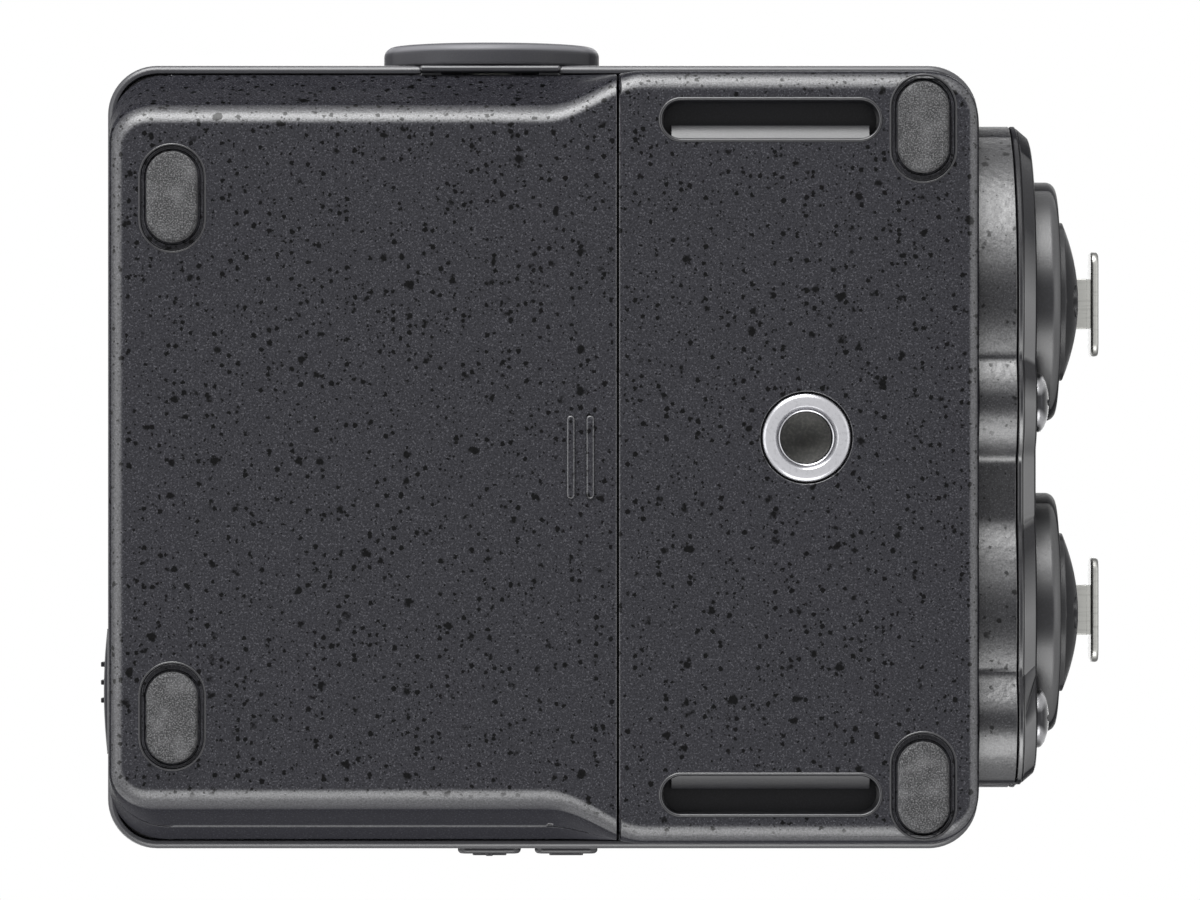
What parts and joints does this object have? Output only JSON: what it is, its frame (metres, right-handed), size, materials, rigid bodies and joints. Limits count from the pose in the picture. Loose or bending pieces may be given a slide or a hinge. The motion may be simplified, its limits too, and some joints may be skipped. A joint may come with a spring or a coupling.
{
  "type": "handheld digital recorder",
  "caption": "Compact field recorder with a speckled underside, sliding battery cover, tripod socket, latching XLR inputs, side dial, display and keys.",
  "frame": {"origin": "under the middle of the whole object, on the surface that the feet stand on", "axes": "+X out of the connector end, +Z to the display side, -Y to the dial side"},
  "size_m": [0.101, 0.0814, 0.0438],
  "materials": {
    "speckled_shell": "charcoal moulding with black flecks and fine grain",
    "upper_shell": "dark grey satin moulding",
    "foot_rubber": "matt grey rubber with fine grain",
    "insert_metal": "bright turned metal",
    "connector_plastic": "dark grey glass-filled plastic",
    "contact_metal": "plated spring metal",
    "latch_steel": "nickel-plated sheet steel",
    "black_screw": "black zinc",
    "dial_plastic": "satin grey",
    "trim_black": "satin charcoal",
    "key_grey": "satin grey rubberised",
    "key_red": "satin dark red",
    "lamp_red": "clear red light pipe",
    "window": "smoked glossy window",
    "display_black": "black frame",
    "board_green": "solder mask",
    "component_black": "black moulding",
    "component_metal": "tinned sheet",
    "cell_jacket": "shrink sleeve"
  },
  "bodies": {
    "root": {"bottom_case": "speckled_shell", "input_panel": "speckled_shell", "top_case": "upper_shell", "case_feet": "foot_rubber", "tripod_insert": "insert_metal", "connector_plate": "connector_plastic", "xlr_shell_1": "connector_plastic", "xlr_shell_2": "connector_plastic", "xlr_insert_1": "connector_plastic", "xlr_insert_2": "connector_plastic", "xlr_contacts_1": "contact_metal", "xlr_contacts_2": "contact_metal", "battery_springs": "contact_metal", "battery_plates": "contact_metal", "xlr_latch_pin_1": "latch_steel", "xlr_latch_pin_2": "latch_steel", "card_door_pin": "latch_steel", "connector_screws": "black_screw", "case_screws": "black_screw", "dial_bezel": "trim_black", "record_lamp": "lamp_red", "display_window": "window", "display_module": "display_black", "main_board": "board_green", "input_board": "board_green", "key_board": "board_green", "dial_board": "board_green", "volume_board": "board_green", "key_switches": "component_black", "volume_switches": "component_black", "phones_jack": "component_black", "line_out_jack": "component_black", "ext_in_jack": "component_black", "memory_card": "component_black", "dial_encoder": "component_metal", "power_switch": "component_metal", "usb_port": "component_metal", "card_socket": "component_metal", "battery_cell_1": "cell_jacket", "battery_cell_2": "cell_jacket", "battery_cell_3": "cell_jacket"},
    "cover": {"battery_cover": "speckled_shell", "cover_feet": "foot_rubber"},
    "dial_body": {"dial": "dial_plastic", "dial_shaft": "latch_steel"},
    "volume_up": {"volume_up_key": "trim_black"},
    "volume_down": {"volume_down_key": "trim_black"},
    "power_knob": {"power_slider": "trim_black"},
    "latch_1": {"xlr_latch_1": "latch_steel"},
    "latch_2": {"xlr_latch_2": "latch_steel"},
    "door": {"card_door": "trim_black"},
    "function_key_1_body": {"function_key_1": "key_grey"},
    "function_key_2_body": {"function_key_2": "key_grey"},
    "function_key_3_body": {"function_key_3": "key_grey"},
    "function_key_4_body": {"function_key_4": "key_grey"},
    "home_key_body": {"home_key": "key_grey"},
    "menu_key_body": {"menu_key": "key_grey"},
    "record_key_body": {"record_key": "key_red"},
    "stop_key_body": {"stop_key": "key_grey"},
    "play_key_body": {"play_key": "key_grey"}
  },
  "joints": [
    {"name": "cover_slide", "type": "slide", "parent": "root", "child": "cover", "axis": [-1, 0, 0], "range_m": [0, 0.052]},
    {"name": "dial_turn", "type": "hinge", "parent": "root", "child": "dial_body", "pos_m": [-0.0113, -0.03832, 0.01925], "axis": [0, -1, 0], "continuous": true},
    {"name": "volume_up_press", "type": "slide", "parent": "root", "child": "volume_up", "axis": [0, -1, 0], "range_m": [0, 0.0004], "stiffness_N_per_m": 1500},
    {"name": "volume_down_press", "type": "slide", "parent": "root", "child": "volume_down", "axis": [0, -1, 0], "range_m": [0, 0.0004], "stiffness_N_per_m": 1500},
    {"name": "power_slide", "type": "slide", "parent": "root", "child": "power_knob", "axis": [0, 1, 0], "range_m": [-0.0012, 0.0028]},
    {"name": "card_door_hinge", "type": "hinge", "parent": "root", "child": "door", "pos_m": [-0.0486, 0.00077, 0.0234], "axis": [0, -1, 0], "range_deg": [0, 90]},
    {"name": "latch_1_press", "type": "hinge", "parent": "root", "child": "latch_1", "pos_m": [0.031, -0.01482, 0.0331], "axis": [0, 1, 0], "range_deg": [0, 5], "stiffness_Nm_per_rad": 0.8},
    {"name": "latch_2_press", "type": "hinge", "parent": "root", "child": "latch_2", "pos_m": [0.031, 0.01638, 0.0331], "axis": [0, 1, 0], "range_deg": [0, 5], "stiffness_Nm_per_rad": 0.8},
    {"name": "function_key_1_press", "type": "slide", "parent": "root", "child": "function_key_1_body", "axis": [0, 0, -1], "range_m": [0, 0.0004], "stiffness_N_per_m": 1500},
    {"name": "function_key_2_press", "type": "slide", "parent": "root", "child": "function_key_2_body", "axis": [0, 0, -1], "range_m": [0, 0.0004], "stiffness_N_per_m": 1500},
    {"name": "function_key_3_press", "type": "slide", "parent": "root", "child": "function_key_3_body", "axis": [0, 0, -1], "range_m": [0, 0.0004], "stiffness_N_per_m": 1500},
    {"name": "function_key_4_press", "type": "slide", "parent": "root", "child": "function_key_4_body", "axis": [0, 0, -1], "range_m": [0, 0.0004], "stiffness_N_per_m": 1500},
    {"name": "home_key_press", "type": "slide", "parent": "root", "child": "home_key_body", "axis": [0, 0, -1], "range_m": [0, 0.0004], "stiffness_N_per_m": 1500},
    {"name": "menu_key_press", "type": "slide", "parent": "root", "child": "menu_key_body", "axis": [0, 0, -1], "range_m": [0, 0.0004], "stiffness_N_per_m": 1500},
    {"name": "record_key_press", "type": "slide", "parent": "root", "child": "record_key_body", "axis": [0, 0, -1], "range_m": [0, 0.0004], "stiffness_N_per_m": 1500},
    {"name": "stop_key_press", "type": "slide", "parent": "root", "child": "stop_key_body", "axis": [0, 0, -1], "range_m": [0, 0.0004], "stiffness_N_per_m": 1500},
    {"name": "play_key_press", "type": "slide", "parent": "root", "child": "play_key_body", "axis": [0, 0, -1], "range_m": [0, 0.0004], "stiffness_N_per_m": 1500}
  ]
}
